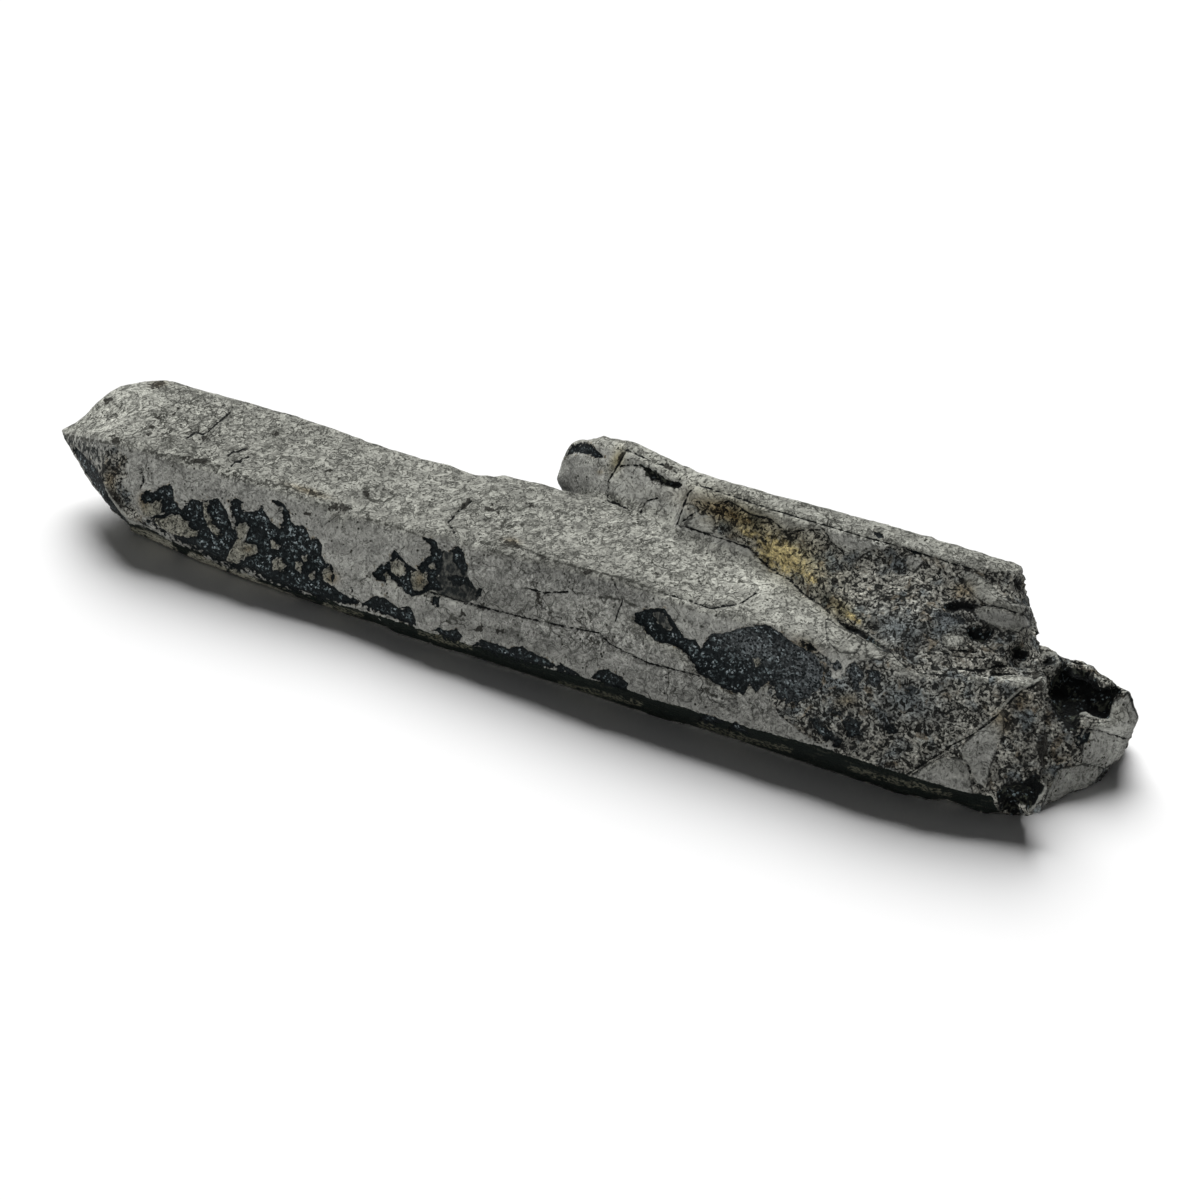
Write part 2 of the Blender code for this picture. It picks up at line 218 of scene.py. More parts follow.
SMOOTH_FACETS = (
    ((985, 725), (1003, 712), (1003, 735), (990, 765), (986, 787), (976, 783), (969, 766),
     (958, 748), (972, 738)),
    ((912, 776), (930, 764), (945, 757), (964, 760), (970, 774), (972, 795), (958, 793), (936, 785)),
    ((962, 578), (976, 575), (989, 583), (1003, 598), (1016, 605), (1029, 609), (1021, 616),
     (1003, 609), (985, 602), (972, 592)),
    ((973, 609), (986, 605), (1003, 610), (1018, 616), (1030, 616), (1034, 624), (1020, 631),
     (1000, 629), (986, 623), (976, 616)),
    ((941, 634), (950, 632), (964, 636), (966, 643), (952, 645), (942, 642)),
    ((1114, 702), (1128, 694), (1140, 725), (1128, 757), (1104, 768), (1082, 762), (1084, 742),
     (1092, 724), (1112, 722)),
    ((1058, 770), (1080, 765), (1104, 770), (1090, 788), (1064, 798), (1042, 810), (1048, 790)),
    ((905, 557), (918, 553), (923, 561), (914, 571), (905, 567)),
    ((826, 618), (836, 626), (852, 634), (862, 640), (856, 652), (840, 652), (828, 640)),
    ((866, 642), (876, 642), (888, 652), (880, 660), (868, 656)),
    ((677, 524), (684, 506), (690, 504), (696, 512), (690, 517), (681, 526)),
    ((686, 525), (698, 518), (707, 514), (713, 521), (713, 533), (698, 531)),
)

# Black hollows, in pixels
HOLLOWS = (
    ((1052, 649), (1067, 651), (1084, 657), (1100, 667), (1113, 678), (1122, 690), (1115, 698),
     (1111, 706), (1110, 718), (1098, 717), (1083, 712), (1079, 724), (1077, 734), (1068, 730),
     (1056, 716), (1048, 694), (1052, 680), (1060, 672), (1061, 662)),
    ((1044, 657), (1052, 655), (1055, 662), (1050, 667), (1043, 664)),
    ((996, 794), (1003, 785), (1014, 781), (1024, 780), (1036, 772), (1043, 778), (1045, 788),
     (1038, 800), (1022, 819), (1011, 821), (1000, 811)),
    ((940, 604), (946, 601), (950, 597), (958, 600), (966, 600), (974, 604), (978, 609), (970, 612),
     (962, 609), (952, 611), (945, 608)),
    ((967, 630), (972, 624), (978, 627), (985, 629), (990, 626), (994, 630), (990, 636), (984, 642),
     (979, 638), (974, 640), (969, 636)),
    ((1015, 652), (1022, 648), (1029, 652), (1026, 660), (1017, 659)),
    ((1017, 580), (1022, 577), (1026, 583), (1021, 590)),
    ((801, 641), (811, 642), (818, 650), (812, 654), (803, 648)),
    ((639, 465), (648, 466), (657, 473), (667, 478), (676, 482), (684, 486), (672, 488), (660, 485),
     (650, 479), (644, 472)),
    ((838, 620), (848, 624), (862, 630), (876, 641), (890, 652), (882, 650), (862, 637), (846, 629)),
)
DARK_SPOTS = (
    ((842, 722), (849, 717), (856, 719), (861, 722), (858, 730), (860, 736), (851, 739), (845, 733)),
    ((828, 710), (836, 707), (841, 713), (832, 718)),
    ((806, 714), (813, 718), (817, 715), (822, 723), (829, 728), (833, 735), (842, 741), (838, 748),
     (829, 742), (823, 741), (816, 733), (813, 726)),
    ((848, 668), (854, 663), (860, 668), (864, 676), (858, 682), (861, 690), (852, 689), (849, 680)),
    ((866, 672), (876, 668), (883, 678), (876, 688), (867, 684)),
    ((884, 727), (892, 723), (898, 731), (890, 739)),
    ((778, 668), (786, 664), (790, 672), (784, 678)),
    ((830, 664), (838, 660), (842, 668), (834, 672)),
    ((788, 690), (795, 686), (800, 694), (794, 702), (787, 699)),
    ((905, 690), (912, 684), (918, 690), (912, 697)),
    ((1075, 738), (1082, 730), (1090, 734), (1086, 744), (1078, 746)),
    ((935, 612), (945, 612), (958, 614), (966, 619), (952, 624), (940, 622)),
    ((873, 532), (882, 533), (888, 537), (878, 538)),
    ((905, 548), (916, 549), (924, 554), (912, 554)),
    ((451, 551), (457, 546), (463, 552), (467, 569), (462, 575), (456, 567), (452, 560)),
    ((445, 577), (456, 576), (468, 578), (473, 588), (462, 586), (452, 585)),
    ((475, 590), (482, 587), (480, 597), (475, 597)),
    ((432, 594), (439, 597), (438, 608), (431, 605)),
    ((360, 604), (367, 601), (375, 596), (385, 598), (392, 604), (400, 610), (408, 605), (413, 613),
     (416, 627), (406, 624), (390, 617), (372, 611)),
)

# Cracks and seams, in pixels
CRACKS = (
    ((1040, 682), (1022, 691), (1010, 701), (1000, 713), (985, 726), (970, 736), (950, 746), (905, 776)),
    ((965, 602), (975, 603), (990, 605), (1003, 607), (1018, 612)),
    ((968, 766), (974, 784), (984, 794)),
    ((945, 650), (962, 655), (985, 657)),
    ((940, 640), (950, 648), (975, 650)),
    ((960, 665), (985, 667), (1010, 664)),
    ((1075, 728), (1100, 731), (1128, 740)),
    ((1062, 656), (1078, 665), (1090, 670), (1097, 677), (1108, 683), (1119, 694)),
    ((430, 592), (482, 607), (520, 617), (560, 626), (598, 633), (610, 645), (647, 663), (699, 676)),
    ((524, 588), (545, 593), (567, 592)),
    ((664, 593), (688, 600), (711, 608), (740, 602), (757, 591)),
    ((457, 537), (448, 521), (459, 510), (471, 500)),
    ((628, 447), (615, 468), (607, 482), (607, 499)),
    ((698, 482), (687, 494), (677, 523)),
    ((696, 483), (726, 493), (772, 509), (820, 523), (866, 537), (907, 548), (949, 563), (976, 570)),
    ((201, 442), (204, 438), (202, 433), (207, 431), (213, 426), (219, 421), (223, 417), (230, 411)),
    ((187, 437), (195, 431), (203, 433)),
    ((228, 455), (233, 450), (238, 451), (242, 448), (247, 447)),
    ((231, 465), (235, 460), (240, 461), (243, 457), (248, 456)),
    ((677, 524), (712, 536), (748, 548), (770, 568), (790, 580), (806, 596), (820, 604), (843, 624),
     (864, 631), (892, 652), (911, 671)),
    ((911, 671), (950, 676), (985, 673), (1015, 671), (1034, 676)),
    ((141, 470), (143, 482), (139, 489)),
    ((350, 588), (353, 600)),
    ((612, 580), (622, 600), (614, 622)),
    ((707, 503), (716, 505), (728, 501), (739, 508), (751, 515), (770, 519), (785, 532), (800, 530),
     (823, 530), (830, 542), (846, 553)),
    ((686, 500), (675, 523)),
    ((607, 499), (632, 510)),
    ((640, 512), (645, 501), (657, 498)),
    ((615, 467), (628, 465), (641, 466)),
    ((625, 449), (640, 455), (652, 461)),
    ((652, 461), (664, 464), (676, 472)),
    ((678, 524), (688, 517), (696, 512)),
    ((463, 603), (478, 607), (500, 612)),
)

# Faint seams, and thin rims of broken edges with a painted highlight along them, in pixels
SEAMS = (
    ((143, 450), (160, 455), (176, 456), (188, 463), (199, 462), (209, 461), (222, 468), (238, 474),
     (258, 483), (292, 487)),
    ((361, 517), (398, 527), (424, 538)),
    ((480, 542), (523, 547), (543, 557), (580, 568), (617, 577), (662, 592)),
    ((63, 435), (90, 440), (117, 444)),
    ((117, 444), (111, 468), (107, 492)),
    ((363, 490), (374, 486), (388, 491), (394, 496), (384, 502), (370, 500), (363, 490)),
    ((600, 596), (622, 600), (640, 608)),
    ((500, 507), (520, 512)),
    ((555, 511), (572, 516)),
)
RIMS = (
    ((1041, 679), (1022, 688), (1009, 699), (999, 710), (984, 723), (969, 733), (950, 743), (926, 758)),
    ((1050, 725), (1048, 739), (1049, 756), (1046, 776), (1046, 787), (1036, 804), (1022, 818)),
    ((962, 577), (975, 575), (988, 581), (1001, 595), (1014, 603), (1030, 607)),
    ((1041, 655), (1048, 651), (1057, 655), (1058, 664), (1052, 671), (1044, 670)),
    ((1080, 714), (1098, 719), (1111, 720), (1113, 705)),
    ((106, 489), (112, 500), (121, 509), (136, 521)),
    ((974, 641), (984, 645), (993, 641)),
    ((1052, 735), (1056, 722), (1050, 716)),
    ((1086, 712), (1087, 726), (1078, 744)),
    ((679, 524), (686, 508), (693, 506), (697, 515)),
    ((690, 522), (700, 517), (711, 516)),
)

# The streaked lower face of the tip, in pixels
TIP_FACE = (
    (58, 434), (90, 442), (115, 449), (110, 470), (105, 492), (118, 512), (134, 531), (120, 540),
    (96, 510), (70, 465),
)

# Stains, and paler and darker places that are partly painted light and painted shade, in pixels: centre,
# radii along and across, turn in degrees
OCHRE = ((780, 555, 26, 14, 32), (808, 577, 8, 5, 35), (746, 533, 8, 4, 30), (852, 617, 10, 3, 30))
OLIVE = ((745, 522, 50, 16, 25), (800, 560, 40, 22, 35), (840, 608, 26, 10, 35), (617, 460, 6, 12, 20))
RUST = (
    (722, 512, 34, 9, 20), (143, 502, 5, 9, -10), (110, 480, 6, 16, -15), (248, 549, 5, 3, 0),
    (333, 578, 6, 6, 0), (420, 580, 5, 8, 0), (1000, 718, 10, 8, -30), (846, 700, 14, 8, 0),
    (960, 588, 9, 7, 0), (308, 491, 20, 3, 18), (1020, 700, 12, 8, 0), (1006, 724, 5, 12, 20),
    (159, 384, 7, 3, -10), (1092, 706, 10, 6, 30), (600, 472, 3, 2, 0), (512, 541, 8, 3, 15),
    (806, 648, 16, 7, 30), (968, 590, 6, 9, -20),
)
FADED = (
    (822, 674, 50, 34, 25), (905, 700, 40, 20, 20), (945, 618, 26, 12, 20), (1080, 790, 40, 16, -25),
    (752, 646, 38, 14, 20), (900, 628, 40, 18, 15), (836, 688, 22, 20, 0),
)
# Paler places: partly paler crust, partly painted light on faces that get little light.
PALE_AND_PAINTED_LIGHT = (
    (650, 486, 58, 30, 25), (598, 458, 14, 12, 0), (740, 576, 62, 18, 20), (120, 408, 50, 22, -25),
    (1112, 732, 18, 18, 0), (700, 515, 18, 12, 0), (1003, 679, 34, 5, 2),
    (994, 588, 24, 5, 32), (828, 686, 24, 20, 0),
)
SMUDGES = (
    (492, 509, 11, 5, 20), (340, 508, 13, 5, 15), (512, 543, 14, 4, 18), (541, 556, 6, 3, 20),
    (466, 504, 4, 8, 30), (158, 384, 11, 4, -5), (275, 434, 4, 3, 0), (185, 458, 9, 3, 15),
    (197, 461, 8, 3, 15), (314, 493, 9, 4, 20), (307, 514, 4, 2, 0), (148, 434, 4, 3, 0),
    (366, 493, 4, 7, 10), (656, 573, 4, 2, 0), (480, 607, 5, 3, 0), (538, 600, 4, 8, 0),
    (462, 615, 4, 6, 0), (588, 572, 6, 3, 0), (530, 505, 5, 3, 0), (666, 465, 7, 3, 12),
    (480, 628, 4, 5, 20), (620, 458, 3, 8, 25), (500, 631, 6, 3, 20),
    (1038, 680, 6, 32, -6), (1043, 748, 6, 24, 2), (1009, 724, 5, 8, 20), (1096, 679, 34, 8, 33),
    (116, 440, 7, 4, 35), (108, 400, 7, 3, -40), (205, 461, 6, 4, 0), (177, 408, 3, 2, 0),
    (158, 418, 3, 2, 0), (152, 426, 4, 2, 20), (190, 406, 3, 2, 0), (223, 406, 4, 2, 20),
    (204, 437, 3, 5, 0), (338, 477, 3, 3, 0), (176, 414, 5, 2, 20), (246, 449, 5, 2, -20),
    (328, 470, 5, 3, 10), (118, 503, 9, 5, 40), (112, 495, 6, 7, -20), (809, 647, 6, 3, 30),
)
# Darker places: partly darker crust, partly painted shade, most of all along the low part of the front.
DIM_AND_PAINTED_SHADE = (
    (520, 640, 100, 14, 16), (700, 700, 150, 22, 16), (830, 745, 110, 22, 15), (560, 572, 80, 16, 15),
    (1000, 640, 45, 28, 0), (122, 506, 16, 12, 40), (106, 492, 8, 14, -20), (580, 486, 22, 12, 20),
    (1025, 755, 18, 50, 0), (900, 650, 60, 12, 10), (500, 600, 60, 14, 15), (1004, 620, 26, 9, 15),
    (972, 770, 50, 34, 0), (577, 488, 24, 16, 20), (1010, 640, 30, 20, 15), (890, 725, 40, 20, 20),
    (1000, 600, 44, 32, 0), (90, 474, 8, 26, -35),
)
WRINKLED = (
    (190, 425, 95, 45, 15), (500, 520, 44, 18, 15), (620, 528, 80, 22, 15), (860, 535, 110, 10, 16),
    (105, 412, 50, 28, -25), (580, 628, 100, 26, 16), (700, 690, 100, 16, 16),
    (235, 474, 90, 9, 14), (560, 582, 90, 20, 14),
)

# The edge where the front face turns under, the dark strip below it, and its light streaks, in pixels
FRONT_EDGE = (
    (96, 500), (108, 514), (118, 521), (134, 521), (150, 526), (174, 537), (197, 545), (221, 557),
    (256, 570), (291, 584), (308, 591), (330, 598), (351, 606), (392, 619), (414, 627),
    (463, 643), (504, 655.5), (545, 668), (586, 678), (620, 687), (650, 698.4), (681, 706.5),
    (718, 719), (762, 731), (795, 740), (818, 746), (908, 776), (951, 788), (992, 799), (1004, 822),
)
UNDERCUT = FRONT_EDGE + ((1004, 870), (600, 760), (300, 660), (100, 580))
LEDGE = ((232, 565, 110, 12, 21),)
PALE_STREAKS = (
    ((118, 522), (146, 530), (172, 540)),
    ((132, 530), (152, 536), (178, 546)),
    ((194, 549), (210, 556), (228, 563)),
    ((236, 563), (250, 570), (262, 578)),
    ((256, 574), (274, 583), (300, 594)),
    ((262, 581), (280, 589), (290, 593)),
    ((327, 602), (344, 608), (362, 614)),
    ((420, 632), (452, 643), (470, 648)),
    ((560, 683), (596, 692), (640, 704)),
    ((700, 724), (740, 738), (790, 750)),
    ((850, 768), (900, 782), (950, 794)),
)

FLAKED = (
    (BARE_LEFT, BARE_MIDDLE, BARE_RIGHT, BARE_TIP, BARE_SMALL_TIP) + BARE_SCALLOPS + DARK_SPOTS
)

# Colours
# The crust on top, and a lighter copy on the front: painted light for the front, which gets less light.
CRUST_TOP = (0.284, 0.286, 0.255, 1.0)
CRUST_FRONT_WITH_PAINTED_LIGHT = (0.308, 0.310, 0.286, 1.0)
CRUST_VEIN = (0.040, 0.041, 0.034, 1.0)
QUARTZ_DARK = (0.004, 0.007, 0.008, 1.0)
QUARTZ_GRAIN = (0.190, 0.240, 0.250, 1.0)
QUARTZ_SPECK = (0.320, 0.370, 0.385, 1.0)
QUARTZ_FADED = (0.195, 0.213, 0.219, 1.0)
MATRIX_PALE = (0.270, 0.267, 0.236, 1.0)
MATRIX_BLUE = (0.125, 0.140, 0.142, 1.0)
MATRIX_BROWN = (0.125, 0.110, 0.084, 1.0)
MATRIX_BLACK = (0.008, 0.009, 0.008, 1.0)
OCHRE_POWDER = (0.840, 0.700, 0.330, 1.0)
OCHRE_DEEP = (0.430, 0.350, 0.175, 1.0)
RUST_TINT = (0.70, 0.60, 0.46, 1.0)
OLIVE_TINT = (0.86, 0.78, 0.54, 1.0)
ISLAND_TINT = (0.84, 0.82, 0.74, 1.0)
SMUDGE_BROWN = (0.014, 0.013, 0.010, 1.0)
DULL_DARK = (0.022, 0.026, 0.026, 1.0)
DULL_PALE = (0.110, 0.112, 0.100, 1.0)
CRUMB_OLIVE = (0.060, 0.066, 0.050, 1.0)
# The face that turns under: its own dark green made darker still with painted shade.
UNDER_DARK_WITH_PAINTED_SHADE = (0.004, 0.008, 0.006, 1.0)
UNDER_PALE = (0.120, 0.120, 0.088, 1.0)
LEDGE_TAN = (0.330, 0.322, 0.262, 1.0)
# A painted highlight along the raised rims of broken edges.
RIM_HIGHLIGHT = (0.360, 0.365, 0.330, 1.0)
BLACK = (0.003, 0.004, 0.004, 1.0)
FLOOR_WHITE = (0.93, 0.93, 0.93, 1.0)


def camera_axes():
    """The directions to the right, up and back of the camera."""
    right = Vector((math.cos(AZIMUTH), math.sin(AZIMUTH), 0.0))
    back = Vector((
        math.sin(AZIMUTH) * math.cos(ELEVATION),
        -math.cos(AZIMUTH) * math.cos(ELEVATION),
        math.sin(ELEVATION),
    ))
    return right, back.cross(right), back


def picture_places(points):
    """The pixels of the picture at which the camera sees points given in millimetres."""
    right, up, back = (np.array(axis) for axis in camera_axes())
    offset = points * MM - np.array(TARGET)
    scale = LENS / SENSOR * PICTURE / (DISTANCE - offset @ back)
    across = PICTURE / 2 + scale * (offset @ right)
    down = PICTURE / 2 - scale * (offset @ up)
    return np.stack((across, down), axis=1)


def distance_to_line(places, line):
    """How far places are from a broken line, both in pixels. The answer is in millimetres."""
    nearest = np.full(len(places), np.inf)
    for start, end in zip(line, line[1:]):
        start = np.array(start, float)
        along = np.array(end, float) - start
        share = np.clip((places - start) @ along / (along @ along), 0.0, 1.0)
        gap = places - start - share[:, None] * along
        np.minimum(nearest, np.einsum("ij,ij->i", gap, gap), out=nearest)
    return np.sqrt(nearest) / PIXELS_PER_MM


def depth_inside(places, outline):
    """How deep places lie inside an outline, in millimetres, and below zero outside it."""
    closed = outline + outline[:1]
    x, y = places[:, 0], places[:, 1]
    within = np.zeros(len(places), bool)
    for (x0, y0), (x1, y1) in zip(closed, closed[1:]):
        if y0 != y1:
            spans = (y0 > y) != (y1 > y)
            within ^= spans & (x < x0 + (x1 - x0) * (y - y0) / (y1 - y0))
    distance = distance_to_line(places, closed)
    return np.where(within, distance, -distance)


def deepest_inside(places, outlines):
    """How deep places lie inside any of several outlines, in millimetres."""
    return np.max([depth_inside(places, outline) for outline in outlines], axis=0)


def nearest_line(places, lines):
    """How far places are from the nearest of several lines, in millimetres."""
    return np.min([distance_to_line(places, line) for line in lines], axis=0)


def stain_weight(places, stains):
    """How strongly each place is stained, from 0 to 1 in the middle of a stain."""
    weight = np.zeros(len(places))
    for x, y, along, across, turn in stains:
        angle = math.radians(turn)
        offset = places - np.array((x, y))
        u = (offset @ np.array((math.cos(angle), math.sin(angle)))) / along
        v = (offset @ np.array((-math.sin(angle), math.cos(angle)))) / across
        np.maximum(weight, np.exp(-(u * u + v * v)), out=weight)
    return weight


def step(value, low, high):
    """A smooth rise from 0 to 1 between two values."""
    share = np.clip((value - low) / (high - low), 0.0, 1.0)
    return share * share * (3.0 - 2.0 * share)


def noise_field(points, size, octaves=1, stretch=(1.0, 1.0, 1.0)):
    """Smooth noise from about -1 to 1, with features of a size in millimetres."""
    scaled = points / (np.array(stretch) * size)
    return np.array([noise.fractal(place, 1.0, 2.0, octaves) for place in scaled.tolist()])


def read_points(mesh):
    """The places of the vertices in millimetres, and their normals."""
    places = np.empty(len(mesh.vertices) * 3)
    normals = np.empty(len(mesh.vertices) * 3)
    mesh.vertices.foreach_get("co", places)
    mesh.vertex_normals.foreach_get("vector", normals)
    return places.reshape(-1, 3) / MM, normals.reshape(-1, 3)


def fine_copy(node):
    """A finer and softer copy of a solid of the frame, as a piece of its own."""
    piece = bpy.data.objects.new("crusted_crystals", node.data.copy())
    bpy.context.scene.collection.objects.link(piece)
    remesh = piece.modifiers.new("Fine", "REMESH")
    remesh.mode = "VOXEL"
    remesh.voxel_size = VOXEL * MM
    soften = piece.modifiers.new("Soften", "SMOOTH")
    soften.iterations = SOFTEN_PASSES
    graph = bpy.context.evaluated_depsgraph_get()
    mesh = bpy.data.meshes.new_from_object(piece.evaluated_get(graph))
    piece.modifiers.clear()
    piece.data = mesh
    return piece


def refine(mesh):
    """Halves the edges that lie near an outline on the side that the camera sees."""
    marks = survey(*read_points(mesh))
    near = np.minimum(np.abs(marks["bare"]), np.abs(marks["hollow"]))
    near = np.minimum(near, np.abs(marks["under"]))
    near = np.minimum(near, marks["crack"])
    wanted = (near < FINE_NEAR) & (marks["seen"] > 0.5)
    work = bmesh.new()
    work.from_mesh(mesh)
    edges = [e for e in work.edges if wanted[e.verts[0].index] and wanted[e.verts[1].index]]
    bmesh.ops.subdivide_edges(work, edges=edges, cuts=1, use_grid_fill=True)
    bmesh.ops.triangulate(work, faces=[f for f in work.faces if len(f.verts) > 4])
    work.to_mesh(mesh)
    work.free()


def unseen_bare(points):
    """How deep points lie inside the bare patches of the unseen side, in millimetres."""
    patch = noise_field(points, UNSEEN_PATCH_SIZE, 3, UNSEEN_PATCH_STRETCH) - UNSEEN_PATCH_LEVEL
    return UNSEEN_DEPTH * patch


def unseen_rough(points):
    """How deep points lie inside the rough end of the unseen side, in millimetres."""
    end = step(points[:, 0], *UNSEEN_END_RANGE)
    uneven = noise_field(points, UNSEEN_END_NOISE, 2)
    return (2.0 * end - 1.0) * UNSEEN_DEPTH + uneven * UNSEEN_DEPTH - 1.0


def seen_rough(points, places, matrix, facets):
    """How deep points lie inside the matrix or a rough end, clear of the facets, in millimetres."""
    end = depth_inside(places, ROUGH_END) - 1.2 + 2.5 * noise_field(points, 4.0, 3)
    tip = depth_inside(places, ROUGH_TIP) + 0.8 * noise_field(points, 2.0, 3)
    return np.minimum(np.max([matrix, end, tip], axis=0), -facets)


def survey(points, normals):
    """Measures for each point what the surface is there. Depths and distances are in millimetres."""
    places = picture_places(points)
    back = np.array(camera_axes()[2])
    seen = step(normals @ back, *SEEN_RANGE)
    matrix = depth_inside(places, ROUGH_MATRIX)
    facets = deepest_inside(places, SMOOTH_FACETS)
    islands = deepest_inside(places, ISLANDS)
    bare = np.minimum(deepest_inside(places, FLAKED), -islands)
    rough = seen_rough(points, places, matrix, facets)
    # Paler and darker places, partly painted light and painted shade.
    tone = PALE_LIFT * stain_weight(places, PALE_AND_PAINTED_LIGHT) - DIM_DROP * stain_weight(places, DIM_AND_PAINTED_SHADE)

    def both(here, there):
        return here * seen + there * (1.0 - seen)

    marks = {
        "seen": seen,
        "upward": normals[:, 2],
        "bare": both(bare, unseen_bare(points)),
        "rough": both(rough, unseen_rough(points)),
        "wrinkled": both(stain_weight(places, WRINKLED), UNSEEN_WRINKLES),
        "tone": both(tone, 0.0),
    }
    depths = {
        "matrix": matrix,
        "island": islands,
        "facet": facets,
        "dull": deepest_inside(places, (DULL_MIDDLE, DULL_ISLAND)),
        "under": depth_inside(places, UNDERCUT),
        "hollow": deepest_inside(places, HOLLOWS),
        "tip": depth_inside(places, TIP_FACE),
    }
    for name, depth in depths.items():
        marks[name] = both(depth, -FAR_OFF)
    lines = {"crack": CRACKS, "seam": SEAMS, "rim": RIMS, "streak": PALE_STREAKS}
    for name, group in lines.items():
        marks[name] = both(nearest_line(places, group), FAR_OFF)
    stains = {
        "ochre": OCHRE, "olive": OLIVE, "smudge": SMUDGES, "rust": RUST, "ledge": LEDGE, "faded": FADED,
    }
    for name, group in stains.items():
        marks[name] = both(stain_weight(places, group), 0.0)
    return marks


def relief(points, marks):
    """How far each point moves out along its normal, in millimetres."""
    wobble = noise_field(points, 0.9, 2)
    swell = noise_field(points, 5.5, 2)
    wrinkle = noise_field(points, 1.5, 3)
    crumble = noise_field(points, 2.6, 4)
    flaked = np.maximum(marks["bare"], marks["dull"])
    bare = step(flaked + 0.12 * wobble, -FLAKE_EDGE, FLAKE_EDGE)
    rough = step(marks["rough"], -0.4, 0.5)
    hollow = step(marks["hollow"] + 0.2 * wobble, -0.2, 1.1)
    height = SWELL_HEIGHT * swell + WRINKLE_HEIGHT * wrinkle
    height -= FLAKE_DEPTH * bare
    height -= MATRIX_DEPTH * step(marks["matrix"] + 0.2 * wobble, -0.2, 0.5)
    height += ROUGH_HEIGHT * rough * crumble
    height -= HOLLOW_DEPTH * hollow
    height -= CRACK_DEPTH * np.exp(-((marks["crack"] / CRACK_WIDTH) ** 2))
    height += RIM_HEIGHT * np.exp(-((marks["rim"] / CRACK_WIDTH) ** 2))
    height += LEDGE_HEIGHT * marks["ledge"]
    return height


def shape_surface(mesh):
    """Gives the fine mesh its relief, and keeps the foot flat and above the floor."""
    points, normals = read_points(mesh)
    marks = survey(points, normals)
    height = relief(points, marks) * step(points[:, 2], *RELIEF_RANGE)
    moved = points + normals * height[:, None]
    foot = (points[:, 2] < FOOT_HEIGHT) & (normals[:, 2] < FOOT_FACING)
    moved[foot, 2] = 0.0
    moved[:, 2] = np.maximum(moved[:, 2], 0.0)
    mesh.vertices.foreach_set("co", (moved * MM).ravel())
    for name, values in marks.items():
        layer = mesh.attributes.new(name, "FLOAT", "POINT")
        layer.data.foreach_set("value", values.astype(np.float32))
    mesh.shade_smooth()
    mesh.update()


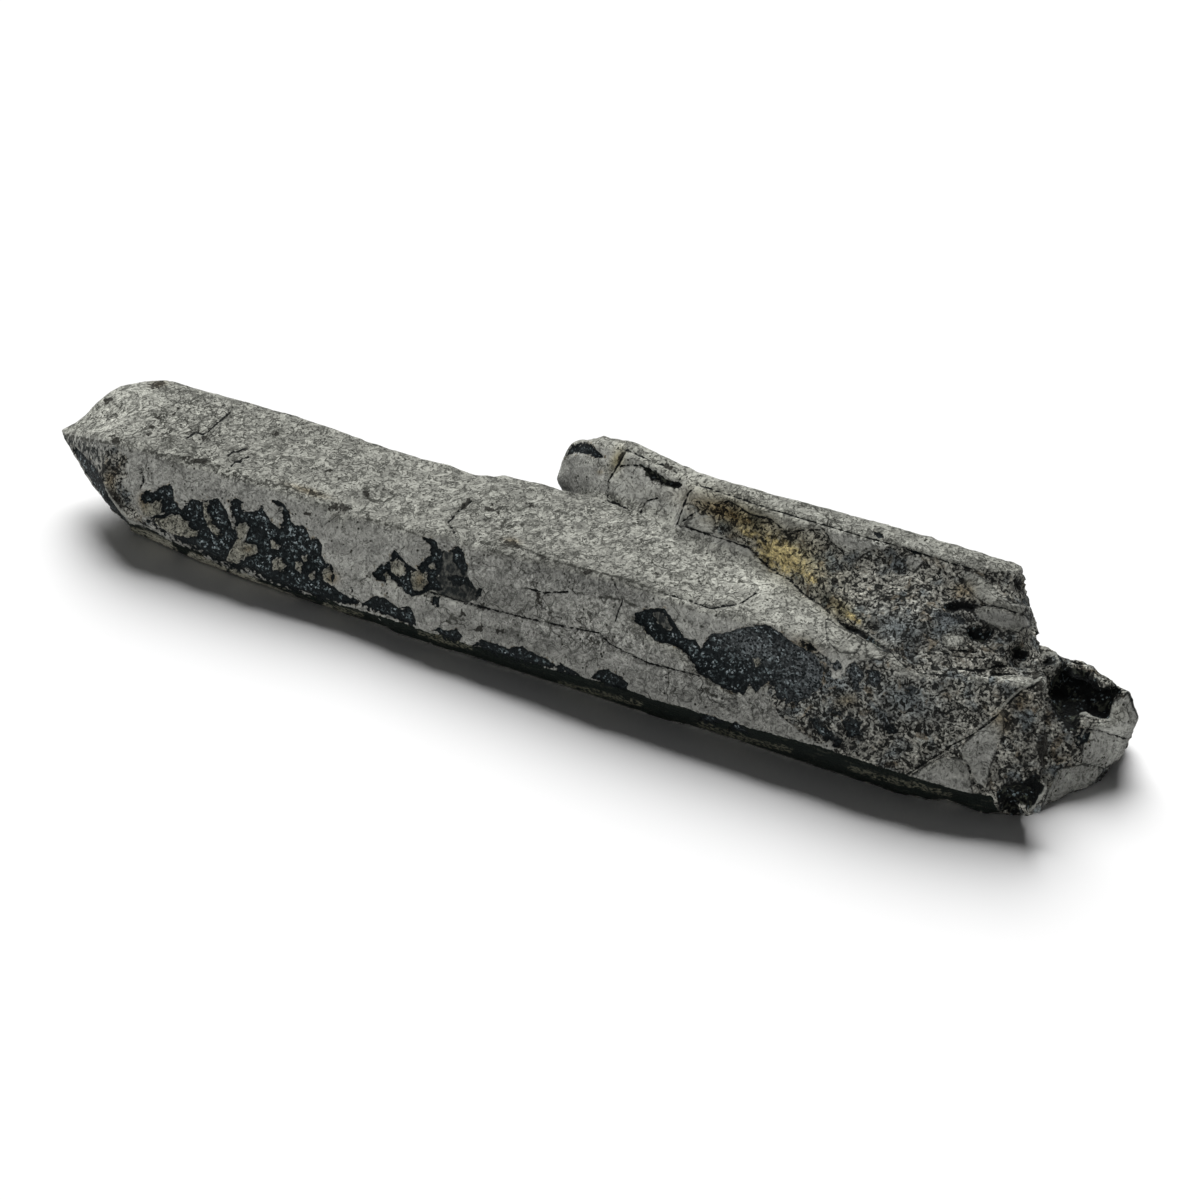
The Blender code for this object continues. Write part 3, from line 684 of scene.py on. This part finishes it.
class Graph:
    """Short calls that build the nodes of one material. Sizes are in millimetres."""

    def __init__(self, name):
        self.material = bpy.data.materials.new(name)
        self.material.use_nodes = True
        self.tree = self.material.node_tree
        self.tree.nodes.clear()
        places = self.add("ShaderNodeTexCoord").outputs["Object"]
        self.places = self.spread(places, (1.0 / MM,) * 3)
        self.ragged = self.math("SUBTRACT", self.noise(0.7, 5.0), 0.5)

    def add(self, kind, **settings):
        made = self.tree.nodes.new(kind)
        for setting, value in settings.items():
            setattr(made, setting, value)
        return made

    def feed(self, socket, value):
        """Links another node's output to a socket, or sets the socket's own value."""
        if isinstance(value, bpy.types.NodeSocket):
            self.tree.links.new(value, socket)
        else:
            socket.default_value = value

    def spread(self, vector, factors):
        made = self.add("ShaderNodeVectorMath", operation="MULTIPLY")
        self.feed(made.inputs[0], vector)
        self.feed(made.inputs[1], factors)
        return made.outputs[0]

    def mark(self, name):
        made = self.add("ShaderNodeAttribute", attribute_name=name)
        return made.outputs["Fac"]

    def math(self, operation, *values):
        made = self.add("ShaderNodeMath", operation=operation)
        for socket, value in zip(made.inputs, values):
            self.feed(socket, value)
        return made.outputs[0]

    def times(self, first, second):
        return self.math("MULTIPLY", first, second)

    def scaled(self, value, factor, offset):
        """A value times a factor, plus an offset."""
        return self.math("MULTIPLY_ADD", value, factor, offset)

    def most(self, first, second):
        return self.math("MAXIMUM", first, second)

    def rise(self, value, low, high):
        """0 below the low value, 1 above the high one, and smooth in between."""
        made = self.add("ShaderNodeMapRange", interpolation_type="SMOOTHSTEP")
        self.feed(made.inputs["Value"], value)
        self.feed(made.inputs["From Min"], low)
        self.feed(made.inputs["From Max"], high)
        return made.outputs["Result"]

    def mix(self, share, first, second):
        made = self.add("ShaderNodeMix", data_type="RGBA")
        self.feed(made.inputs["Factor"], share)
        self.feed(made.inputs["A"], first)
        self.feed(made.inputs["B"], second)
        return made.outputs["Result"]

    def tint(self, share, colour, tint):
        """A colour with a stain over it that lets the grain show."""
        made = self.add("ShaderNodeMix", data_type="RGBA", blend_type="MULTIPLY")
        self.feed(made.inputs["Factor"], share)
        self.feed(made.inputs["A"], colour)
        self.feed(made.inputs["B"], tint)
        return made.outputs["Result"]

    def shade(self, colour, factor):
        """A colour made lighter or darker."""
        made = self.add("ShaderNodeVectorMath", operation="SCALE")
        self.feed(made.inputs[0], colour)
        self.feed(made.inputs["Scale"], factor)
        return made.outputs[0]

    def noise(self, size, detail=2.0, twist=0.0, stretch=(1.0, 1.0, 1.0), turn=(0.0, 0.0, 0.0)):
        """Noise from 0 to 1, which can be stretched along turned axes."""
        mapping = self.add("ShaderNodeMapping", vector_type="TEXTURE")
        self.feed(mapping.inputs["Vector"], self.places)
        self.feed(mapping.inputs["Rotation"], turn)
        self.feed(mapping.inputs["Scale"], stretch)
        made = self.add("ShaderNodeTexNoise")
        self.feed(made.inputs["Vector"], mapping.outputs["Vector"])
        self.feed(made.inputs["Scale"], 1.0 / size)
        self.feed(made.inputs["Detail"], detail)
        self.feed(made.inputs["Distortion"], twist)
        return made.outputs["Fac"]

    def grains(self, size, output="Color", feature="F1", sway=0.0):
        """Cells of a size. With sway their sides are bent by noise of that height."""
        made = self.add("ShaderNodeTexVoronoi", feature=feature)
        places = self.places
        if sway:
            bend = self.add("ShaderNodeTexNoise")
            self.feed(bend.inputs["Vector"], self.places)
            self.feed(bend.inputs["Scale"], 1.0 / size)
            self.feed(bend.inputs["Detail"], 4.0)
            shift = self.spread(bend.outputs["Color"], (sway * size,) * 3)
            moved = self.add("ShaderNodeVectorMath", operation="ADD")
            self.feed(moved.inputs[0], self.places)
            self.feed(moved.inputs[1], shift)
            places = moved.outputs[0]
        self.feed(made.inputs["Vector"], places)
        self.feed(made.inputs["Scale"], 1.0 / size)
        return made.outputs[output]

    def edged(self, name, reach, soft=0.04):
        """1 inside an outline and 0 outside it, with a ragged edge."""
        depth = self.scaled(self.ragged, reach, self.mark(name))
        return self.rise(depth, -soft, soft)

    def lined(self, name, width, reach):
        """1 along a line and 0 away from it, with ragged sides."""
        distance = self.scaled(self.ragged, reach, self.mark(name))
        return self.rise(distance, width, 0.3 * width)

    def channel(self, colour, index):
        made = self.add("ShaderNodeSeparateColor")
        self.feed(made.inputs[0], colour)
        return made.outputs[index]


def crust_tone(graph, top, wrinkled):
    """Light and dark specks of two sizes, stronger where the crust is wrinkled."""
    tone = graph.scaled(graph.noise(2.2, 3.0), 0.9, 0.56)
    busy = graph.rise(graph.noise(5.0, 3.0), 0.40, 0.60)
    strength = graph.scaled(wrinkled, 1.7, graph.scaled(top, -0.3, 1.8))
    strength = graph.times(strength, graph.scaled(busy, 0.6, 0.65))
    speckle = graph.scaled(graph.noise(0.42, 5.0, 0.6), 0.7, -0.65)
    speckle = graph.scaled(graph.noise(1.15, 4.0, 0.9), 0.6, speckle)
    return graph.scaled(speckle, strength, tone)


def crust_veins(graph, top, wrinkled):
    """Fine dark veins, and wrinkles across the top."""
    fine = graph.rise(graph.noise(0.62, 5.0, 1.6), 0.47, 0.36)
    across = graph.noise(0.5, 4.0, 1.2, (3.2, 1.0, 1.0), ACROSS_TURN)
    across = graph.times(graph.rise(across, 0.45, 0.37), graph.times(wrinkled, 0.8))
    amount = graph.scaled(top, 0.30, 0.60)
    return graph.most(graph.times(fine, amount), across)


def crust_dents(graph, top, wrinkled, flake):
    """Pits, hair cracks, and a painted shadow line along the open edges of flakes."""
    pit = graph.rise(graph.grains(1.1, "Distance"), 0.20, 0.12)
    pit = graph.times(pit, graph.rise(graph.noise(3.0), 0.44, 0.54))
    hair = graph.rise(graph.grains(4.2, "Distance", "DISTANCE_TO_EDGE", 0.9), 0.022, 0.006)
    hair = graph.times(hair, graph.rise(graph.noise(3.0, 3.0), 0.50, 0.60))
    # Painted shadow: a dark line along the edges of flakes, where their raised sides cast shade.
    edge = graph.rise(graph.math("ABSOLUTE", graph.math("SUBTRACT", flake, 0.47)), 0.036, 0.010)
    opened = graph.most(graph.times(wrinkled, 1.1), graph.times(top, 0.6))
    opened = graph.times(graph.rise(graph.noise(2.4, 3.0), 0.44, 0.54), opened)
    return graph.most(graph.most(pit, graph.times(hair, 0.8)), graph.times(edge, opened))


def crust_colour(graph):
    """Grey mineral crust, more flaky on top than on the front. Also how deep its marks go."""
    top = graph.rise(graph.mark("upward"), 0.45, 0.75)
    wrinkled = graph.mark("wrinkled")
    flake = graph.noise(1.5, 5.0, 0.7)
    plate = graph.rise(flake, 0.46, 0.54)
    tone = crust_tone(graph, top, wrinkled)
    tone = graph.scaled(graph.math("SUBTRACT", plate, 0.5), graph.scaled(top, 0.22, 0.12), tone)
    # Painted light: the front's crust is a lighter copy of the top's, to make up for the front getting
    # less light.
    base = graph.shade(graph.mix(top, CRUST_FRONT_WITH_PAINTED_LIGHT, CRUST_TOP), tone)
    vein = crust_veins(graph, top, wrinkled)
    base = graph.mix(graph.times(vein, 0.85), base, CRUST_VEIN)
    dent = crust_dents(graph, top, wrinkled, flake)
    deep = graph.scaled(plate, -0.7, graph.most(vein, dent))
    return graph.mix(dent, base, CRUST_VEIN), deep


def quartz_colour(graph):
    """Bare blue-black quartz with fine grey-blue grains, darkened beside the crust with painted shade.
    """
    cell = graph.channel(graph.grains(0.24), 0)
    grain = graph.rise(cell, 0.50, 1.0)
    grain = graph.times(grain, graph.rise(graph.noise(0.8, 5.0), 0.40, 0.62))
    # Painted shade: the grains fade to dark near the crust's edge, standing for the shade that the
    # crust's lip casts.
    grain = graph.times(grain, graph.rise(graph.mark("bare"), 0.15, 0.60))
    colour = graph.mix(grain, QUARTZ_DARK, QUARTZ_GRAIN)
    speck = graph.times(graph.rise(cell, 0.90, 0.94), graph.rise(grain, 0.2, 0.7))
    colour = graph.mix(speck, colour, QUARTZ_SPECK)
    faded = graph.scaled(cell, 0.9, -0.1)
    faded = graph.times(faded, graph.mark("faded"))
    return graph.mix(faded, colour, QUARTZ_FADED)


def matrix_colour(graph):
    """Rough broken matrix: pale crumbs with dark gaps, in places brown or blue-grey."""
    cells = graph.grains(0.42)
    blue = graph.rise(graph.noise(3.0, 4.0), 0.48, 0.68)
    blue = graph.most(blue, graph.mark("faded"))
    base = graph.mix(blue, MATRIX_PALE, MATRIX_BLUE)
    brown = graph.rise(graph.noise(2.2, 4.0, 1.0), 0.54, 0.70)
    base = graph.mix(brown, base, MATRIX_BROWN)
    light = graph.scaled(graph.channel(cells, 0), 1.1, 0.45)
    light = graph.scaled(graph.noise(0.33, 3.0), 4.2, graph.math("SUBTRACT", light, 2.1))
    light = graph.most(light, 0.08)
    broad = graph.scaled(graph.noise(2.8, 2.0), 1.5, 0.24)
    base = graph.shade(base, graph.times(light, broad))
    gap = graph.rise(graph.scaled(broad, 0.06, graph.noise(0.7, 6.0, 1.2)), 0.540, 0.490)
    return graph.mix(graph.times(gap, 0.95), base, MATRIX_BLACK), gap


def dull_colour(graph):
    """A dull dark face with paler smears down it."""
    smear = graph.noise(0.6, 5.0, 0.2, (1.0, 1.0, 1.8))
    return graph.mix(graph.rise(smear, 0.40, 0.66), DULL_DARK, DULL_PALE)


def hollow_colour(graph):
    """Black hollows with a few dim crumbs and grains in them."""
    crumb = graph.rise(graph.noise(0.9, 5.0, 1.0), 0.50, 0.62)
    crumb = graph.times(crumb, graph.rise(graph.noise(2.6), 0.46, 0.60))
    cell = graph.channel(graph.grains(0.3), 1)
    grain = graph.times(graph.rise(cell, 0.80, 1.0), graph.rise(graph.noise(1.6), 0.5, 0.62))
    return graph.mix(grain, graph.mix(crumb, BLACK, CRUMB_OLIVE), QUARTZ_GRAIN)


def under_colour(graph):
    """The face that turns under: dark green, made darker still with painted shade, with pale streaks
    along it.
    """
    streaky = graph.noise(0.4, 4.0, 0.3, (8.0, 1.0, 1.0), (0.0, 0.0, math.radians(2.0)))
    ledge = graph.rise(graph.mark("ledge"), 0.25, 0.6)
    pale = graph.times(graph.rise(streaky, 0.56, 0.64), 0.25)
    near = graph.scaled(streaky, -0.9, graph.mark("streak"))
    pale = graph.most(pale, graph.rise(near, 0.05, -0.2))
    speck = graph.scaled(ledge, 0.06, graph.noise(0.5, 5.0))
    pale = graph.times(pale, graph.rise(speck, 0.44, 0.56))
    return graph.mix(pale, UNDER_DARK_WITH_PAINTED_SHADE, graph.mix(ledge, UNDER_PALE, LEDGE_TAN))


def streaked_tip(graph, colour):
    """Dark streaks down the lower face of the tip."""
    streak = graph.noise(0.7, 4.0, 0.8, (5.0, 1.0, 1.0), TIP_TURN)
    streak = graph.times(graph.rise(streak, 0.56, 0.46), graph.edged("tip", 1.5, 0.4))
    return graph.mix(graph.times(streak, 0.9), colour, QUARTZ_DARK)


def stained(graph, colour, island):
    """Rust and olive stains, brownish pitted islands of crust, and dark smudges."""
    colour = graph.tint(graph.mark("rust"), colour, RUST_TINT)
    colour = graph.tint(graph.mark("olive"), colour, OLIVE_TINT)
    colour = graph.tint(island, colour, ISLAND_TINT)
    pitted = graph.times(island, graph.rise(graph.noise(0.6, 5.0, 1.0), 0.49, 0.38))
    colour = graph.mix(pitted, colour, CRUST_VEIN)
    smudge = graph.scaled(graph.ragged, 2.4, graph.mark("smudge"))
    return graph.mix(graph.times(graph.rise(smudge, 0.45, 0.75), 0.9), colour, SMUDGE_BROWN)


def outlined_facets(graph, colour):
    """A dark broken line round each smooth facet."""
    outline = graph.math("ABSOLUTE", graph.math("ADD", graph.mark("facet"), 0.12))
    outline = graph.rise(graph.scaled(graph.ragged, 0.8, outline), 0.16, 0.05)
    return graph.mix(graph.times(outline, 0.75), colour, MATRIX_BLACK)


def rusty_lips(graph, colour, island):
    """Brown lips round the bare patches, weaker on the islands."""
    lip = graph.times(graph.edged("bare", 3.0, 0.15), graph.rise(graph.noise(1.3), 0.45, 0.55))
    lip = graph.times(lip, graph.scaled(island, -0.6, 0.8))
    return graph.tint(lip, colour, RUST_TINT)


def powdered(graph, colour, gap):
    """Ochre powder that mostly leaves the dark gaps clear."""
    powder = graph.times(graph.mark("ochre"), graph.scaled(graph.ragged, 4.0, 1.0))
    powder = graph.times(graph.rise(powder, 0.12, 0.8), graph.scaled(gap, -0.75, 1.0))
    ochre = graph.mix(graph.rise(graph.noise(0.3, 5.0), 0.42, 0.60), OCHRE_DEEP, OCHRE_POWDER)
    return graph.mix(graph.times(powder, 0.9), colour, ochre)


def fine_bumps(graph, rough, bare, dull, dent, gap):
    """Bumps for the grain of the crust, its marks, the crumbs and the gaps, in millimetres."""
    lump = graph.times(graph.grains(0.42, "Distance"), graph.most(rough, bare))
    height = graph.times(graph.noise(0.42, 6.0, 0.5), 0.40)
    height = graph.scaled(dent, -0.16, height)
    height = graph.scaled(graph.times(gap, rough), -0.22, height)
    height = graph.scaled(lump, -0.25, height)
    height = graph.scaled(graph.most(bare, dull), -0.12, height)
    height = graph.scaled(graph.edged("facet", 1.2, 0.1), 0.10, height)
    bump = graph.add("ShaderNodeBump")
    graph.feed(bump.inputs["Height"], height)
    bump.inputs["Strength"].default_value = 1.0
    bump.inputs["Distance"].default_value = MM
    return bump.outputs["Normal"]


def crystal_material():
    """Crust, bare quartz, matrix and stains, each where the marks of the mesh put it."""
    graph = Graph("crusted quartz")
    rough = graph.edged("rough", 1.6, 0.15)
    bare = graph.edged("bare", graph.scaled(rough, 1.4, 1.2))
    dull = graph.edged("dull", 1.2)
    island = graph.edged("island", 0.6, 0.25)
    colour, dent = crust_colour(graph)
    matrix, gap = matrix_colour(graph)

    colour = streaked_tip(graph, colour)
    colour = graph.mix(graph.times(graph.lined("seam", 0.28, 0.9), 0.85), colour, CRUST_VEIN)
    colour = graph.mix(rough, colour, matrix)
    colour = stained(graph, colour, island)
    colour = outlined_facets(graph, colour)
    # The face that turns under, its dark partly painted shade.
    colour = graph.mix(graph.edged("under", 0.6), colour, under_colour(graph))
    colour = rusty_lips(graph, colour, island)
    colour = graph.mix(dull, colour, dull_colour(graph))
    colour = graph.mix(bare, colour, quartz_colour(graph))
    # Paler and darker places, partly painted light and painted shade.
    colour = graph.shade(colour, graph.math("ADD", graph.mark("tone"), 1.0))
    colour = powdered(graph, colour, gap)
    colour = graph.mix(graph.lined("crack", 0.18, 0.6), colour, BLACK)
    colour = graph.mix(graph.edged("hollow", 1.8, 0.15), colour, hollow_colour(graph))
    # Painted highlight: a pale line along the rims of broken edges.
    colour = graph.mix(graph.times(graph.lined("rim", 0.24, 0.4), 0.8), colour, RIM_HIGHLIGHT)

    shader = graph.add("ShaderNodeBsdfPrincipled")
    roughness = graph.scaled(bare, -QUARTZ_ROUGHNESS_DROP, CRUST_ROUGHNESS)
    graph.feed(shader.inputs["Base Color"], colour)
    graph.feed(shader.inputs["Roughness"], roughness)
    graph.feed(shader.inputs["Normal"], fine_bumps(graph, rough, bare, dull, dent, gap))
    shader.inputs["Specular IOR Level"].default_value = CRYSTAL_SPECULAR
    output = graph.add("ShaderNodeOutputMaterial")
    graph.feed(output.inputs["Surface"], shader.outputs["BSDF"])
    return graph.material


def make_crystals():
    """The whole cluster as one piece."""
    piece = fine_copy(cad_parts[NODE])
    refine(piece.data)
    shape_surface(piece.data)
    piece.data.materials.clear()
    piece.data.materials.append(crystal_material())
    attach(piece, "root")
    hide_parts(NODE)
    return piece


def make_floor():
    """A plain pale floor."""
    bpy.ops.mesh.primitive_plane_add(size=FLOOR_SIZE)
    floor = bpy.context.object
    floor.name = "floor"
    material = bpy.data.materials.new("floor")
    material.use_nodes = True
    shader = material.node_tree.nodes["Principled BSDF"]
    shader.inputs["Base Color"].default_value = FLOOR_WHITE
    shader.inputs["Roughness"].default_value = FLOOR_ROUGHNESS
    shader.inputs["Specular IOR Level"].default_value = FLOOR_SPECULAR
    floor.data.materials.append(material)


def add_sun(name, way, spread, strength):
    """A soft light from far away, so that the floor is evenly lit."""
    data = bpy.data.lights.new(name, "SUN")
    data.angle = math.radians(spread)
    data.energy = strength
    light = bpy.data.objects.new(name, data)
    bpy.context.scene.collection.objects.link(light)
    light.rotation_euler = Vector(way).to_track_quat("Z", "Y").to_euler()
    return light


def make_lights(piece):
    """A key above and behind, a fill in front that spares the floor, a weak sky and a white surround."""
    add_sun("key", KEY_WAY, KEY_SPREAD, KEY_STRENGTH)
    add_sun("sky", SKY_WAY, SKY_SPREAD, SKY_STRENGTH)
    fill = add_sun("fill", FILL_WAY, FILL_SPREAD, FILL_STRENGTH)
    lit = bpy.data.collections.new("lit by the fill")
    lit.objects.link(piece)
    fill.light_linking.receiver_collection = lit
    world = bpy.data.worlds.new("studio")
    bpy.context.scene.world = world
    world.use_nodes = True
    background = world.node_tree.nodes["Background"]
    background.inputs["Color"].default_value = (1.0, 1.0, 1.0, 1.0)
    world.cycles_visibility.diffuse = False
    world.cycles_visibility.glossy = False
    bpy.context.scene.view_settings.view_transform = "Standard"


def make_camera():
    """The camera at the angle of the photograph."""
    data = bpy.data.cameras.new("camera")
    data.lens = LENS
    data.sensor_width = SENSOR
    data.clip_start = NEAREST
    camera = bpy.data.objects.new("camera", data)
    bpy.context.scene.collection.objects.link(camera)
    back = camera_axes()[2]
    camera.location = TARGET + back * DISTANCE
    camera.rotation_euler = back.to_track_quat("Z", "Y").to_euler()
    bpy.context.scene.camera = camera


crystals = make_crystals()
make_floor()
make_lights(crystals)
make_camera()
